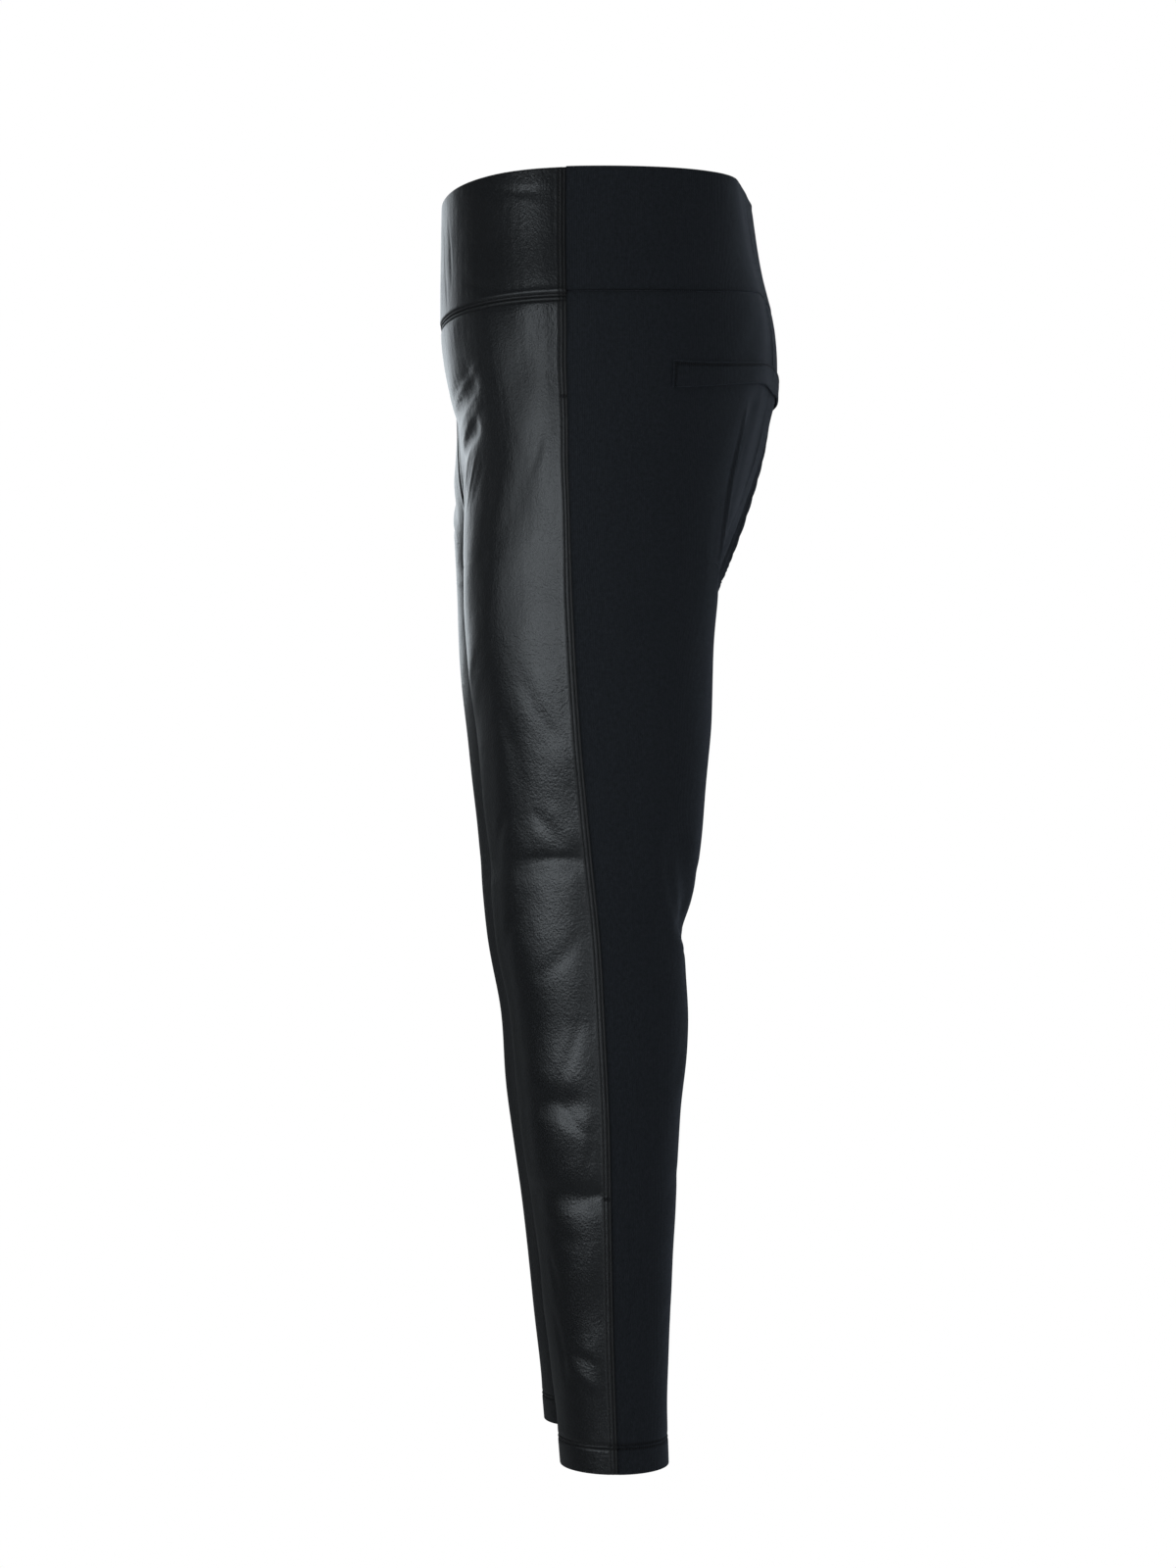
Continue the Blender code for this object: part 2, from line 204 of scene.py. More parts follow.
FADE = 0.7  # how suddenly a crease starts and ends

# The hidden right half has the same creases, each a little moved and changed
SEED = 7
MOVED = 7 * MM
CHANGED = 0.3

# Slow unevenness of the cloth: height, and how many waves
SLACK_HEIGHT = 0.28 * MM
SLACK_WAVES = 9
SLACK_LENGTHS = (38 * MM, 120 * MM)

# Seams and sewing
ROLL = 0.45  # the share of the wall that its edge is rounded by, from each side
TOPSTITCH_ROWS = (2.2 * MM, 5.1 * MM)
ALLOWANCE = 6.8 * MM
ALLOWANCE_RISE = 0.45 * MM
ALLOWANCE_FALL = 1.6 * MM
STITCH_DIP = 0.75 * MM
STITCH_DIP_WIDTH = 0.8 * MM
SINK = {"front": 0.7 * MM, "back": 0.5 * MM}  # how far a sewn edge dips into its seam
SINK_FALL = 1.1 * MM
CENTRE_SINK = 0.8 * MM  # the centre seams sink deeper, between two puffs
CENTRE_FALL = 1.5 * MM
CENTRE_PUFF = (0.8 * MM, 4.2 * MM, 2.6 * MM)
CENTRE_END = 60 * MM  # above the crotch, where the puffs have died out
BAND_ROW = 2.4 * MM
LEG_ROW = 2.8 * MM
HEM_LINES = (19.2 * MM, 22.0 * MM)
HEM_PUFF = 0.3 * MM

# The cloth puffs up above the waist seam, and less below it: height, distance and width
BAND_PUFF = (0.7 * MM, 4.4 * MM, 1.9 * MM)
LEG_PUFF = (0.2 * MM, 9 * MM, 6 * MM)
PUFF_REACH = 90 * MM  # the puffs are highest at the side seam and lower beyond this

STITCH_PITCH = 2.9 * MM
STITCH_LENGTH = 2.3 * MM
THREAD = 0.28 * MM

# The bar tacks across the side seam's rows, in millimetres: where, and how they are made
TACKS = ((-3.6, 174), (-3.6, 767))
TACK_REACH = 2.6 * MM
TACK_THREADS = 5
TACK_PITCH = 0.5 * MM
TACK_LIFT = 0.3 * MM

# The welt's stitches: their distance from its edges, and levels on the welt that include them
WELT_ROW = 2.2 * MM
WELT_LINES = np.array([0, 0.11, 0.22])


# ---------------------------------------------------------------- the form


def column(name):
    scale = 1.0 if name == "turn" else MM
    return np.array([getattr(row, name) for row in SECTIONS]) * scale


LEVELS = column("down")
COLUMNS = {name: column(name) for name in Section._fields}
SLOPES = {name: np.gradient(values, LEVELS) for name, values in COLUMNS.items()}


def size_at(name, down):
    """A column of the section table at any level, as a smooth curve through its rows."""
    down = np.clip(down, LEVELS[0], LEVELS[-1])
    low = np.clip(np.searchsorted(LEVELS, down) - 1, 0, len(LEVELS) - 2)
    span = LEVELS[low + 1] - LEVELS[low]
    t = (down - LEVELS[low]) / span
    values, slopes = COLUMNS[name], SLOPES[name]
    return (
        values[low] * (1 + 2 * t) * (1 - t) ** 2
        + slopes[low] * span * t * (1 - t) ** 2
        + values[low + 1] * t**2 * (3 - 2 * t)
        - slopes[low + 1] * span * t**2 * (1 - t)
    )


def smooth_step(low, high, value):
    t = np.clip((value - low) / (high - low), 0, 1)
    return t * t * (3 - 2 * t)


def bump(value, centre, width):
    return np.exp(-(((value - centre) / width) ** 2))


def groove(down, power):
    """How far a centre seam has sunk towards the crotch point: 0 at the hips, 1 at the crotch."""
    t = np.clip((down - GROOVE_START) / (CROTCH_DOWN - GROOVE_START), 0, 1)
    return 1 - np.sqrt(1 - t**power)


def groove_bend(sunk):
    closed = 1 - (1 - sunk) ** 3
    share = 1 - (1 - BESIDE_GROOVE) * closed / sunk
    return np.log(share) / np.log(BESIDE_GROOVE)


def centre_seam(down, edge, power):
    middle = (size_at("front", down) + size_at("back", down)) / 2
    outer = size_at(edge, down)
    return outer + (middle - outer) * groove(down, power)


def section_points(down):
    """The section of the left half at each level, from the inner front round to the inner back."""
    down = np.asarray(down)[:, None]
    front, back, side = (size_at(name, down) for name in ("front", "back", "side"))
    front_x, back_x = size_at("front_x", down), size_at("back_x", down)
    middle = (front + back) / 2
    parting = np.sqrt(1 - np.exp(-np.clip(down - CROTCH_DOWN, 0, None) / ARCH_HEIGHT))
    inner = size_at("inner", down) * parting
    below = smooth_step(CROTCH_DOWN - 20 * MM, CROTCH_DOWN, down)
    centre = (inner + side) / 2
    front_x = front_x + (centre - front_x) * below
    back_x = back_x + (centre - back_x) * below

    angle = np.linspace(0, np.pi / 2, ARC_STEPS + 1)[None, :]
    rise, fall = np.sin(angle), np.cos(angle)
    arcs = []
    for edge, apex, apex_x, power in (
        ("front", front, front_x, FRONT_GROOVE_POWER),
        ("back", back, back_x, BACK_GROOVE_POWER),
    ):
        start = centre_seam(down, edge, power)
        bend = groove_bend(np.maximum(groove(down, power), LEAST_SUNK))
        arcs.append(
            (
                inner + (apex_x - inner) * (1 - fall),
                start + (apex - start) * rise**bend,
            )
        )
    outer_front = (
        front_x + (side - front_x) * rise,
        middle + (front - middle) * fall,
    )
    outer_back = (back_x + (side - back_x) * fall, middle + (back - middle) * rise)
    pieces = (
        arcs[0],
        tuple(values[:, 1:] for values in outer_front),
        tuple(values[:, 1:] for values in outer_back),
        tuple(values[:, -2::-1] for values in arcs[1]),
    )
    x = np.concatenate([piece[0] for piece in pieces], axis=1)
    y = np.concatenate([piece[1] for piece in pieces], axis=1)
    turn = np.radians(size_at("turn", down))
    x, y = x - centre, y - middle
    return (
        centre + x * np.cos(turn) - y * np.sin(turn),
        middle + x * np.sin(turn) + y * np.cos(turn),
    )


def measured_sections(down):
    """Section points with their lengths along the cloth, and the side seam's length."""
    x, y = section_points(down)
    steps = np.hypot(np.diff(x, axis=1), np.diff(y, axis=1))
    length = np.concatenate([np.zeros((len(x), 1)), np.cumsum(steps, axis=1)], axis=1)
    seam = size_at("seam", np.asarray(down))[:, None]
    outer = slice(ARC_STEPS, 3 * ARC_STEPS + 1)
    before = ARC_STEPS + np.sum(y[:, outer] < seam, axis=1) - 1
    row = np.arange(len(x))
    part = (seam[:, 0] - y[row, before]) / (y[row, before + 1] - y[row, before])
    seam_length = length[row, before] + part * (length[row, before + 1] - length[row, before])
    return x, y, length, seam_length


def point_at(x, y, length, wanted):
    row = np.arange(len(x))
    wanted = np.clip(wanted, 0, length[:, -1])
    after = np.clip(np.sum(length < wanted[:, None], axis=1), 1, x.shape[1] - 1)
    before = after - 1
    part = (wanted - length[row, before]) / (length[row, after] - length[row, before])
    return (
        x[row, before] + part * (x[row, after] - x[row, before]),
        y[row, before] + part * (y[row, after] - y[row, before]),
    )


def centre_levels(edge, power, top):
    """Levels evenly spaced along a centre seam, from `top` to the crotch point."""
    t = np.linspace(0, 1, 800)
    down = top + (CROTCH_DOWN - top) * (1 - (1 - t) ** 3)
    y = centre_seam(down, edge, power)
    length = np.concatenate([[0], np.cumsum(np.hypot(np.diff(down), np.diff(y)))])
    return length / length[-1], down


SIDES = {
    "front": (-1, FRONT_RIM, FRONT_BAND, FRONT_GROOVE_POWER),
    "back": (1, BACK_RIM, BACK_BAND, BACK_GROOVE_POWER),
}
CENTRE_LEVELS = {
    edge: centre_levels(edge, power, band.centre) for edge, (_, _, band, power) in SIDES.items()
}

# How far it is along the cloth from the side seam to the centre seam or inseam at each level
RUN_LEVELS = np.linspace(0, HEM_DOWN, 1200)
_, _, RUN_LENGTH, RUN_SEAM = measured_sections(RUN_LEVELS)
RUNS = {"front": RUN_SEAM, "back": RUN_LENGTH[:, -1] - RUN_SEAM}


def run_at(edge, down):
    return np.interp(down, RUN_LEVELS, RUNS[edge])


def edge_share(edge, u):
    return (1 - smooth_step(0, 1, u)) ** edge.lateness


def edge_down(edge, u):
    return edge.side + (edge.centre - edge.side) * edge_share(edge, u)


def leg_down(edge, u, v):
    """The level of a leg panel's point. u runs from the centre seam or inseam to the side seam,
    and v counts the solid's rows from the waistband."""
    band = SIDES[edge][2]
    share = np.clip(v / HIP_ROWS, 0, 1)
    side = band.side + (CROTCH_DOWN - band.side) * share
    centre = np.interp(share, *CENTRE_LEVELS[edge])
    hips = side + (centre - side) * edge_share(band, u)
    low_rows = np.append(np.linspace(CROTCH_DOWN, HEM_DOWN - HEM_HEIGHT, LEG_ROWS), HEM_DOWN)
    legs = np.interp(v - HIP_ROWS, np.arange(LEG_ROWS + 1), low_rows)
    return np.where(v < HIP_ROWS, hips, legs)


def band_down(edge, u, v):
    """The level of a waistband point, where v runs from 0 at the rim to 1 at the seam."""
    top, low = (edge_down(limit, u) for limit in SIDES[edge][1:3])
    return top + (low - SEAM_GAP - top) * v


def welt_down(edge, u, v):
    height = WELT_HEIGHT - WELT_WAIST * np.sin(np.pi * u)
    return edge_down(WELT_TOP, u) + height * v


def fold_depth(around, down):
    """How deep the solids' folds press the cloth in."""
    depth = np.zeros_like(down)
    for fold in FOLDS:
        start = np.array([fold.around_0, fold.down_0]) * MM
        run = np.array([fold.around_1, fold.down_1]) * MM - start
        share = ((around - start[0]) * run[0] + (down - start[1]) * run[1]) / (run @ run)
        near = np.clip(share, 0, 1)
        gap = np.hypot(around - start[0] - near * run[0], down - start[1] - near * run[1])
        depth += fold.depth * MM * np.exp(-((gap / (fold.width * MM)) ** 2))
    return depth


def cloth_at(around, down):
    """Unposed places of the left half, for flat arrays of places on the cloth."""
    parts = []
    for chunk in range(0, len(down), 8000):
        level = down[chunk : chunk + 8000]
        x, y, length, seam = measured_sections(level)
        px, py = point_at(x, y, length, seam + around[chunk : chunk + 8000])
        px = np.maximum(px, SEAM_GAP / 2)
        parts.append(np.stack([px, py, -level], axis=-1))
    return np.concatenate(parts)


def posed(points):
    """Moves the right leg forward and the left leg back, shared out smoothly over the hips."""
    x, y, down = points[..., 0], points[..., 1], -points[..., 2]
    behind = smooth_step(-SHIFT_BLEND, SHIFT_BLEND, y)
    start, whole = (a + (b - a) * behind for a, b in zip(SHIFT_FRONT, SHIFT_BACK))
    amount = LEG_SHIFT * smooth_step(start, whole, down)
    fall = smooth_step(CROTCH_DOWN, CROTCH_DOWN + SHIFT_REACH_FALL, down)
    near = np.tanh(x / SHIFT_REACH)
    moved = points.copy()
    moved[..., 1] += amount * (near + (np.sign(x) - near) * fall)
    return moved


# ---------------------------------------------------------------- relief


def varied(creases, half):
    """The creases of one half: as listed on the left, and a little changed on the right."""
    if half == LEFT:
        return creases
    random = np.random.default_rng(SEED)
    changed = []
    for crease in creases:
        move = random.uniform(-MOVED, MOVED, 4) / MM
        scale = 1 + random.uniform(-CHANGED, CHANGED, 3)
        places = np.array(crease[:4]) + move
        changed.append(Crease(*places, *(np.array(crease[4:]) * scale)))
    return changed


def crease_depth(creases, around, down):
    depth = np.zeros_like(down)
    for crease in creases:
        start = np.array([crease.around_0, crease.down_0]) * MM
        run = np.array([crease.around_1, crease.down_1]) * MM - start
        length = np.hypot(*run)
        along = ((around - start[0]) * run[0] + (down - start[1]) * run[1]) / length**2
        across = ((around - start[0]) * run[1] - (down - start[1]) * run[0]) / length
        along = np.clip(along, 0, 1)
        across = across - crease.bow * MM * 4 * along * (1 - along)
        t = across / (crease.width * MM)
        fade = np.sin(np.pi * along) ** FADE
        depth += crease.depth * MM * fade * (1 - LIP * t**2) * np.exp(-(t**2))
    return depth


def slack(around, down, half):
    """The slow unevenness of cloth that is stretched over a body."""
    random = np.random.default_rng(SEED + half)
    height = np.zeros_like(down)
    for _ in range(SLACK_WAVES):
        length = random.uniform(*SLACK_LENGTHS)
        angle, phase = random.uniform(0, np.pi), random.uniform(0, 2 * np.pi)
        across = (around * np.cos(angle) + down * np.sin(angle)) / length
        height += np.sin(2 * np.pi * across + phase)
    return SLACK_HEIGHT * height / np.sqrt(SLACK_WAVES)


def stitch_dips(distance, rows):
    return -STITCH_DIP * sum(bump(distance, row, STITCH_DIP_WIDTH) for row in rows)


def rolled(distance, radius):
    """How far a wall's edge is rounded off at each distance from the edge."""
    inside = np.clip(distance, 0, radius)
    return radius - np.sqrt(radius**2 - (radius - inside) ** 2)


def seam_rise(distance):
    """The raised, topstitched strip beside a side seam, over the allowance that lies under it."""
    over = 1 - smooth_step(ALLOWANCE - ALLOWANCE_FALL, ALLOWANCE + ALLOWANCE_FALL, distance)
    return ALLOWANCE_RISE * over


def seam_sink(edge, *distances):
    """How a panel's sewn edges dip into their seams."""
    return -SINK[edge] * sum(np.exp(-np.abs(distance) / SINK_FALL) for distance in distances)


# Painted shade: the colour is darkened in stitched grooves and sunk seams, as far as they dip.
def painted_seam_shade_of(dips):
    return np.clip(-dips / STITCH_DIP, 0, 1)


def seam_puff(puff, distance, to_side):
    height, centre, width = puff
    return height * (1 - 0.7 * smooth_step(0, PUFF_REACH, to_side)) * bump(distance, centre, width)


def panel_relief(edge, half, around, down, u):
    """How far a leg panel stands out from its smooth form, and how much shade is painted into its stitched
    grooves and sunk seams.
    """
    band = SIDES[edge][2]
    to_side = np.abs(around)
    to_band = down - edge_down(band, u)
    to_hem = HEM_DOWN - down
    to_centre = run_at(edge, down) - to_side
    creases = FRONT_CREASES if edge == "front" else BACK_CREASES
    quiet = smooth_step(0, 6 * MM, to_side) * smooth_step(0, 10 * MM, to_band)
    quiet = quiet * smooth_step(HEM_HEIGHT, HEM_HEIGHT + 10 * MM, to_hem)
    height = slack(around, down, half) * quiet - crease_depth(varied(creases, half), around, down)
    height = height - fold_depth(around, down)
    hem = 1 - smooth_step(HEM_HEIGHT, HEM_HEIGHT + 3 * MM, to_hem)
    dips = stitch_dips(to_hem, HEM_LINES) + seam_sink(edge, to_side, to_band, to_centre)
    above = 1 - smooth_step(CROTCH_DOWN - CENTRE_END, CROTCH_DOWN, down)
    dips = dips - CENTRE_SINK * above * np.exp(-np.abs(to_centre) / CENTRE_FALL)
    height = height + above * CENTRE_PUFF[0] * bump(to_centre, *CENTRE_PUFF[1:])
    height = height + HEM_PUFF * hem
    if edge == "front":
        dips = dips + stitch_dips(to_side, TOPSTITCH_ROWS) + stitch_dips(to_band, (LEG_ROW,))
        height = height + seam_rise(to_side) * smooth_step(0, 4 * MM, to_hem)
        height = height + seam_puff(LEG_PUFF, to_band, to_side)
    # the second value is painted shade for the colour, where the stitches and seams dip
    return height + dips, painted_seam_shade_of(dips)


def band_relief(edge, half, around, down, u):
    band = SIDES[edge][2]
    to_side = np.abs(around)
    to_seam = edge_down(band, u) - down
    height = slack(around, down, half) * 0.5 * smooth_step(0, 6 * MM, to_side)
    dips = seam_sink(edge, to_side, to_seam)
    if edge == "front":
        dips = dips + stitch_dips(to_side, TOPSTITCH_ROWS) + stitch_dips(to_seam, (BAND_ROW,))
        height = height - crease_depth(varied(BAND_CREASES, half), around, down)
        height = height + seam_rise(to_side) + seam_puff(BAND_PUFF, to_seam, to_side)
    # the second value is painted shade for the colour, where the stitches and seams dip
    return height + dips, painted_seam_shade_of(dips)


# ---------------------------------------------------------------- meshes


def facing(at, sign):
    """The outward direction at each point of a grid."""
    across, lower = np.gradient(at, axis=1), np.gradient(at, axis=0)
    out = np.cross(across, -lower) * -sign
    return out / np.linalg.norm(out, axis=2)[:, :, None]


def graded(first, last, step, length):
    """Distances from 0 to `length`: `first` near the start, `last` mirrored near the end."""
    middle_start, middle_end = first[-1], length - last[-1]
    count = int(round((middle_end - middle_start) / step))
    middle = np.linspace(middle_start, middle_end, count + 1)[1:-1]
    return np.concatenate([first, middle, length - np.array(last)[::-1]])


# Where the columns or rows of points stand near a stitched edge and near a plain one
FINE_EDGE = MM * np.array(
    [0, 0.12, 0.3, 0.55, 0.9, 1.3, 1.7, 2.2, 2.7, 3.2, 3.8, 4.5, 5.1, 5.7, 6.5, 7.5, 8.8, 10.4]
)
PLAIN_EDGE = MM * np.array([0, 0.12, 0.3, 0.6, 1.1, 1.9, 3.0, 4.5])


def mesh_object(name, points, quads, looks, cut=None):
    mesh = bpy.data.meshes.new(name)
    mesh.from_pydata(points.tolist(), [], quads.tolist())
    mesh.shade_smooth()
    if cut is not None:
        attribute = mesh.attributes.new("cut", "FLOAT_VECTOR", "POINT")
        attribute.data.foreach_set("vector", cut.astype(np.float32).ravel())
    for look in looks:
        mesh.materials.append(look)
    piece = bpy.data.objects.new(name, mesh)
    bpy.context.scene.collection.objects.link(piece)
    return piece


def wall_object(name, outer, inner, cut, outer_look, inner_look):
    """A closed wall between two grids of points."""
    rows, columns = outer.shape[:2]
    count = rows * columns
    index = np.arange(count).reshape(rows, columns)

    def strip(a, b):
        return np.stack([a[..., :-1], a[..., 1:], b[..., 1:], b[..., :-1]], axis=-1).reshape(-1, 4)

    outside = strip(index[1:], index[:-1])
    inside = strip(index[:-1] + count, index[1:] + count)
    rims = (
        strip(index[0], index[0] + count),
        strip(index[-1] + count, index[-1]),
        strip(index[:, 0] + count, index[:, 0]),
        strip(index[:, -1], index[:, -1] + count),
    )
    quads = np.concatenate([outside, *rims, inside])
    points = np.concatenate([outer.reshape(-1, 3), inner.reshape(-1, 3)])
    a, b, c, d = (points[quads[:, corner]] for corner in range(4))
    if np.sum(a * (np.cross(b, c) + np.cross(c, d))) < 0:
        quads = quads[:, ::-1]
    cut = np.concatenate([cut.reshape(-1, 3)] * 2)
    piece = mesh_object(name, points, quads, (outer_look, inner_look), cut)
    looks = np.zeros(len(quads), np.int32)
    looks[-len(inside) :] = 1
    piece.data.polygons.foreach_set("material_index", looks)
    return piece


def place(edge, u, down):
    """Distances around for shares u of a panel's width at each level."""
    sign = SIDES[edge][0]
    gap = SEAM_GAP / 2
    return sign * (gap + (run_at(edge, down) - 2 * gap) * (1 - u))


def surface(edge, half, u, v, levels, relief, proud, wall, edges):
    """The outer and inner points of one half's panel, and its places on the cut."""
    u, v = np.meshgrid(u, v)
    down = levels(edge, u, v)
    around = place(edge, u, down)
    at = cloth_at(around.ravel(), down.ravel()).reshape(*u.shape, 3)
    out = facing(at, SIDES[edge][0])
    height, shade = relief(edge, half, around, down, u)
    round_off = rolled(edges(edge, around, down, u), wall * ROLL)
    outer = at + out * (proud + height - round_off)[..., None]
    inner = at + out * (proud + height - wall + round_off)[..., None]
    flip = np.array([half, 1, 1])
    # the cut's third value is the painted shade of the stitched grooves and seams
    cut = np.stack([around * half, down, shade], axis=-1)
    return outer * flip, inner * flip, cut


def leg_edges(edge, around, down, u):
    to_side = np.abs(around) - SEAM_GAP / 2
    to_centre = run_at(edge, down) - SEAM_GAP / 2 - np.abs(around)
    to_band = down - edge_down(SIDES[edge][2], u)
    return np.minimum.reduce([to_side, to_centre, to_band, HEM_DOWN - down])


def band_edges(edge, around, down, u):
    rim, band = SIDES[edge][1:3]
    to_side = np.abs(around) - SEAM_GAP / 2
    return np.minimum.reduce(
        [to_side, down - edge_down(rim, u), edge_down(band, u) - SEAM_GAP - down]
    )


def joined(left, right):
    """Joins the grids of the two halves at the centre line, right side first."""
    middle = (left[:, :1] + right[:, :1]) / 2
    return np.concatenate([right[:, :0:-1], middle, left[:, 1:]], axis=1)


def add_panel(name, edge, half, step, row_step, looks):
    run = run_at(edge, CROTCH_DOWN)
    near_side = FINE_EDGE if edge == "front" else PLAIN_EDGE
    u = graded(PLAIN_EDGE, near_side, step, run) / run
    hip_height = CROTCH_DOWN - SIDES[edge][2].side
    hip = graded(FINE_EDGE, (0,), row_step, hip_height) / hip_height * HIP_ROWS
    leg_height = HEM_DOWN - HEM_HEIGHT - CROTCH_DOWN
    leg = graded((0,), PLAIN_EDGE, row_step, leg_height) / leg_height * (LEG_ROWS - 1)
    hem = graded(PLAIN_EDGE, PLAIN_EDGE, row_step, HEM_HEIGHT) / HEM_HEIGHT
    v = np.concatenate([hip, HIP_ROWS + leg[1:], HIP_ROWS + LEG_ROWS - 1 + hem[1:]])
    outer, inner, cut = surface(
        edge, half, u, v, leg_down, panel_relief, 0, LEG_WALL, leg_edges
    )
    piece = wall_object(name, posed(outer), posed(inner), cut, *looks)
    return piece


def add_band(name, edge, step, row_step, looks):
    run = run_at(edge, 50 * MM)
    near_side = FINE_EDGE if edge == "front" else PLAIN_EDGE
    u = graded((0,), near_side, step, run) / run
    height = 100 * MM
    v = graded(PLAIN_EDGE, FINE_EDGE, row_step, height) / height
    grids = [
        surface(edge, half, u, v, band_down, band_relief, BAND_PROUD, BAND_WALL, band_edges)
        for half in (LEFT, RIGHT)
    ]
    outer, inner, cut = (joined(left, right) for left, right in zip(*grids))
    return wall_object(name, posed(outer), posed(inner), cut, *looks)


def welt_surface(half, u, v):
    u, v = np.meshgrid(u, v)
    down = welt_down("back", u, v)
    around = run_at("back", down) - WELT_HALF * u
    at = cloth_at(around.ravel(), down.ravel()).reshape(*u.shape, 3)
    out = facing(at, 1)
    under = -crease_depth(varied(BACK_CREASES, half), around, down) - fold_depth(around, down)
    under = under + slack(around, down, half)
    height = WELT_HEIGHT - WELT_WAIST * np.sin(np.pi * u)
    to_top, to_low, to_end = v * height, (1 - v) * height, (1 - u) * WELT_HALF
    round_off = rolled(np.minimum.reduce([to_top, to_low, to_end]), WELT_WALL * ROLL)
    lift = 0.7 * MM * smooth_step(0.5, 1, v) * smooth_step(0, 25 * MM, to_end)
    dip = stitch_dips(np.minimum(to_top, to_end), (WELT_ROW,))
    proud = WELT_GAP + WELT_WALL + under + lift
    outer = at + out * (proud + dip - round_off)[..., None]
    inner = at + out * (proud - WELT_WALL + round_off)[..., None]
    flip = np.array([half, 1, 1])
    # the welt's stitch row gets painted shade in its colour too
    cut = np.stack([around * half, down, painted_seam_shade_of(dip)], axis=-1)
    return outer * flip, inner * flip, cut


def add_welt(name, looks):
    u = graded((0,), PLAIN_EDGE, 2.2 * MM, WELT_HALF) / WELT_HALF
    v = graded(PLAIN_EDGE, PLAIN_EDGE, 1.2 * MM, WELT_HEIGHT) / WELT_HEIGHT
    grids = [welt_surface(half, u, v) for half in (LEFT, RIGHT)]
    outer, inner, cut = (joined(left, right) for left, right in zip(*grids))
    return wall_object(name, posed(outer), posed(inner), cut, *looks)


# ---------------------------------------------------------------- stitches


STITCH_SIDES = 5
STITCH_RINGS = ((-0.5, 0.35), (-0.3, 1.0), (0.3, 1.0), (0.5, 0.35))


def lifted(edge, half, u, down, relief, proud):
    """Posed points on the outside of a panel, and the directions out of it, along a line."""
    around = place(edge, u, down)
    nudge = 0.6 * MM
    sign = SIDES[edge][0]

    def unposed(a, d):
        return cloth_at(a, d)

    across = unposed(around + nudge, down) - unposed(around - nudge, down)
    lower = unposed(around, down + nudge) - unposed(around, down - nudge)
    out = np.cross(lower, across)
    out /= np.linalg.norm(out, axis=1)[:, None]
    height, _ = relief(edge, half, around, down, u)
    at = unposed(around, down) + out * (proud + height)[:, None]
    flip = np.array([half, 1, 1])
    return posed(at * flip), out * flip


def stitch_line(at, out, pitch=STITCH_PITCH, length=STITCH_LENGTH):
    """The middles, directions and ups of stitches laid at an even pitch along a line."""
    steps = np.linalg.norm(np.diff(at, axis=0), axis=1)
    run = np.concatenate([[0], np.cumsum(steps)])
    middles = np.arange(pitch / 2, run[-1] - pitch / 2, pitch)

    def along(values, where):
        return np.stack([np.interp(where, run, values[:, axis]) for axis in range(3)], axis=-1)

    ahead = along(at, middles + length / 2) - along(at, middles - length / 2)
    ahead /= np.linalg.norm(ahead, axis=1)[:, None]
    up = along(out, middles)
    up /= np.linalg.norm(up, axis=1)[:, None]
    return along(at, middles), ahead, up, np.full(len(middles), length)


def stitch_mesh(name, lines, look):
    middle, ahead, up, length = (np.concatenate(part) for part in zip(*lines))
    side = np.cross(up, ahead)
    rings = []
    angles = np.linspace(0, 2 * np.pi, STITCH_SIDES, endpoint=False)
    for share, size in STITCH_RINGS:
        for angle in angles:
            offset = side * (np.cos(angle) * THREAD * 1.2 * size) + up * (
                (np.sin(angle) * 0.8 * size + 0.35 * size) * THREAD
            )
            rings.append(middle + ahead * (share * length)[:, None] + offset)
    points = np.stack(rings, axis=1)
    count = len(STITCH_RINGS) * STITCH_SIDES
    faces = []
    for ring in range(len(STITCH_RINGS) - 1):
        for corner in range(STITCH_SIDES):
            after = (corner + 1) % STITCH_SIDES
            low, high = ring * STITCH_SIDES, (ring + 1) * STITCH_SIDES
            faces.append((low + corner, low + after, high + after, high + corner))
    start = np.arange(len(middle))[:, None, None] * count
    quads = (np.array(faces)[None] + start).reshape(-1, 4)
    caps = [tuple(range(STITCH_SIDES))[::-1], tuple(range(count - STITCH_SIDES, count))]
    ends = (np.array(caps)[None] + start).reshape(-1, STITCH_SIDES)
    mesh = bpy.data.meshes.new(name)
    mesh.from_pydata(points.reshape(-1, 3).tolist(), [], quads.tolist() + ends.tolist())
    mesh.shade_smooth()
    mesh.materials.append(look)
    piece = bpy.data.objects.new(name, mesh)
    bpy.context.scene.collection.objects.link(piece)
    return piece


def side_rows(half):
    lines = []
    for row in TOPSTITCH_ROWS:
        down = np.linspace(FRONT_BAND.side + 2 * MM, HEM_DOWN - 2 * MM, 700)
        u = 1 - row / run_at("front", down)
        lines.append(stitch_line(*lifted("front", half, u, down, panel_relief, 0)))
        down = np.linspace(FRONT_RIM.side + 2 * MM, FRONT_BAND.side - 2 * MM, 100)
        u = 1 - row / run_at("front", down)
        lines.append(stitch_line(*lifted("front", half, u, down, band_relief, BAND_PROUD)))
    return lines


def waist_rows(half):
    u = np.linspace(0, 1, 300)
    level = edge_down(FRONT_BAND, u)
    above = lifted("front", half, u, level - BAND_ROW, band_relief, BAND_PROUD)
    below = lifted("front", half, u, level + LEG_ROW, panel_relief, 0)
    return [stitch_line(*above), stitch_line(*below)]


def tack_rows(half):
    lines = []
    for around, top in TACKS:
        across = abs(around) * MM + np.linspace(-TACK_REACH, TACK_REACH, 9)
        for step in range(TACK_THREADS):
            down = np.full_like(across, top * MM + step * TACK_PITCH)
            u = 1 - across / run_at("front", down)
            at, out = lifted("front", half, u, down, panel_relief, TACK_LIFT)
            lines.append(stitch_line(at, out, pitch=1.3 * MM, length=1.7 * MM))
    return lines


